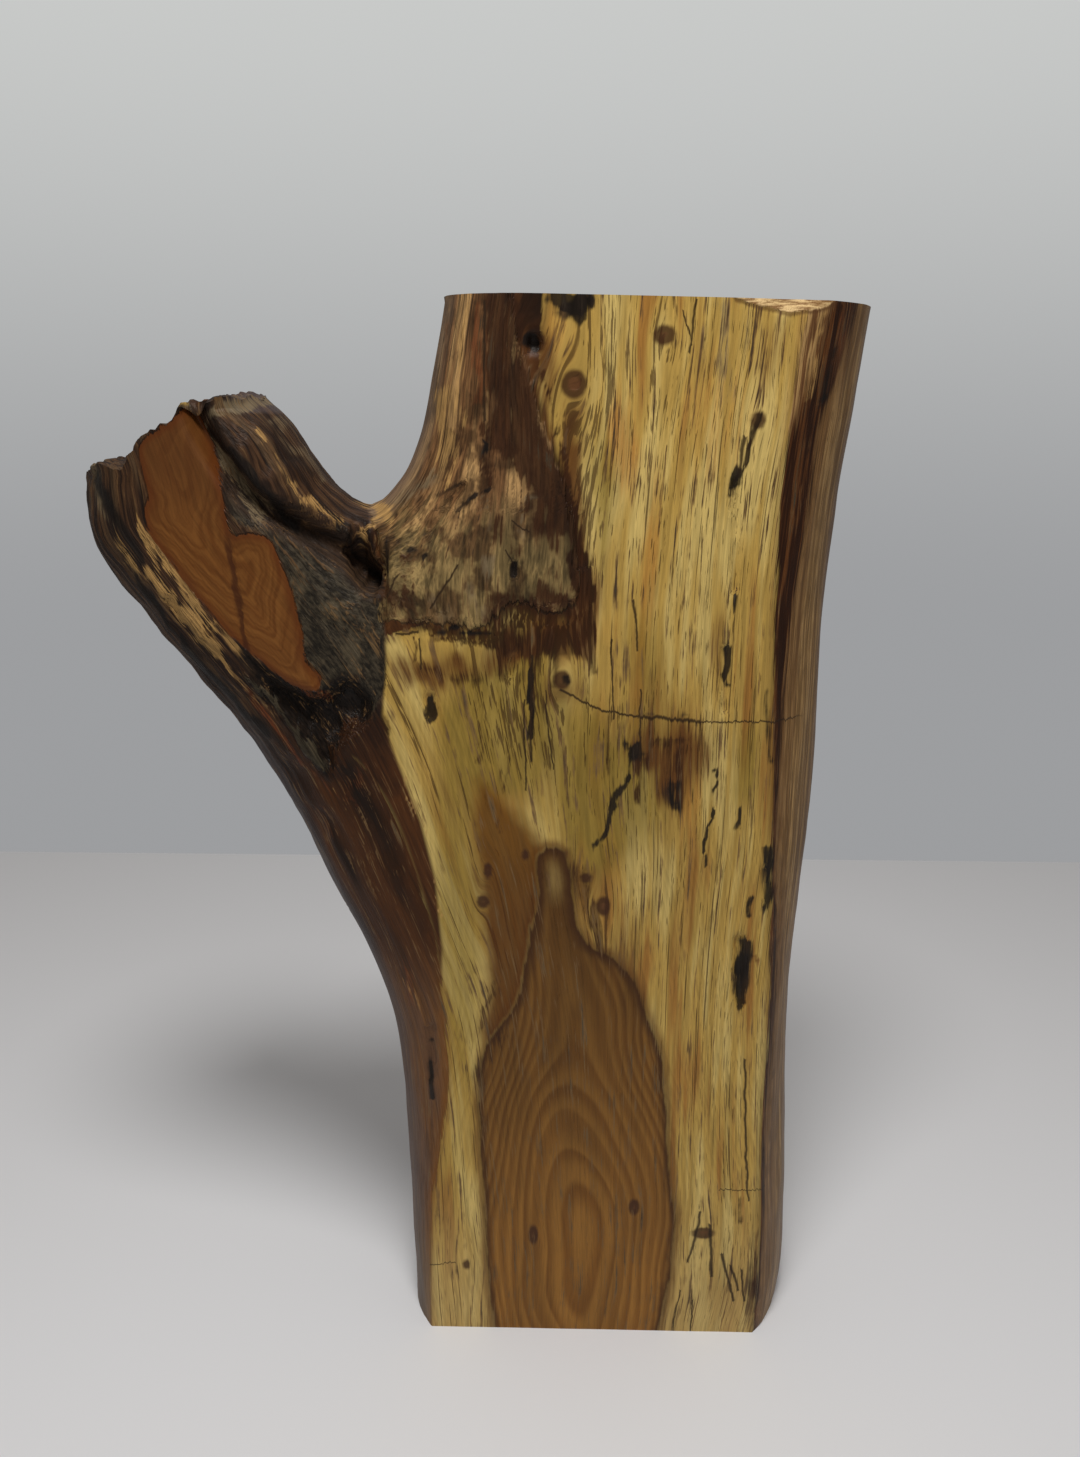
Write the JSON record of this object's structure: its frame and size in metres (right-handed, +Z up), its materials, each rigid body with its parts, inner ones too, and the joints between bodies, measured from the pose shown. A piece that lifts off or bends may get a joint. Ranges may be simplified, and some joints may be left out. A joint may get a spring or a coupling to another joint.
{
  "type": "forked live-edge wood slab",
  "caption": "Thick slab sawn lengthwise from a small forked trunk: flat oiled faces, dark live edges, a short broken-off side branch and a flat base to stand on.",
  "frame": {"origin": "middle of the sawn base, halfway between the two sawn faces", "axes": "+Z up along the trunk, the sanded front faces -Y, +X to the right seen from the front, the branch leaves towards -X"},
  "size_m": [0.2192, 0.058, 0.3322],
  "materials": {
    "oiled_wood": "sanded and oiled to a satin gloss on the sawn faces, rough and dark on the live edges and the broken end"
  },
  "bodies": {
    "root": {"forked_slab": "oiled_wood"}
  },
  "joints": []
}
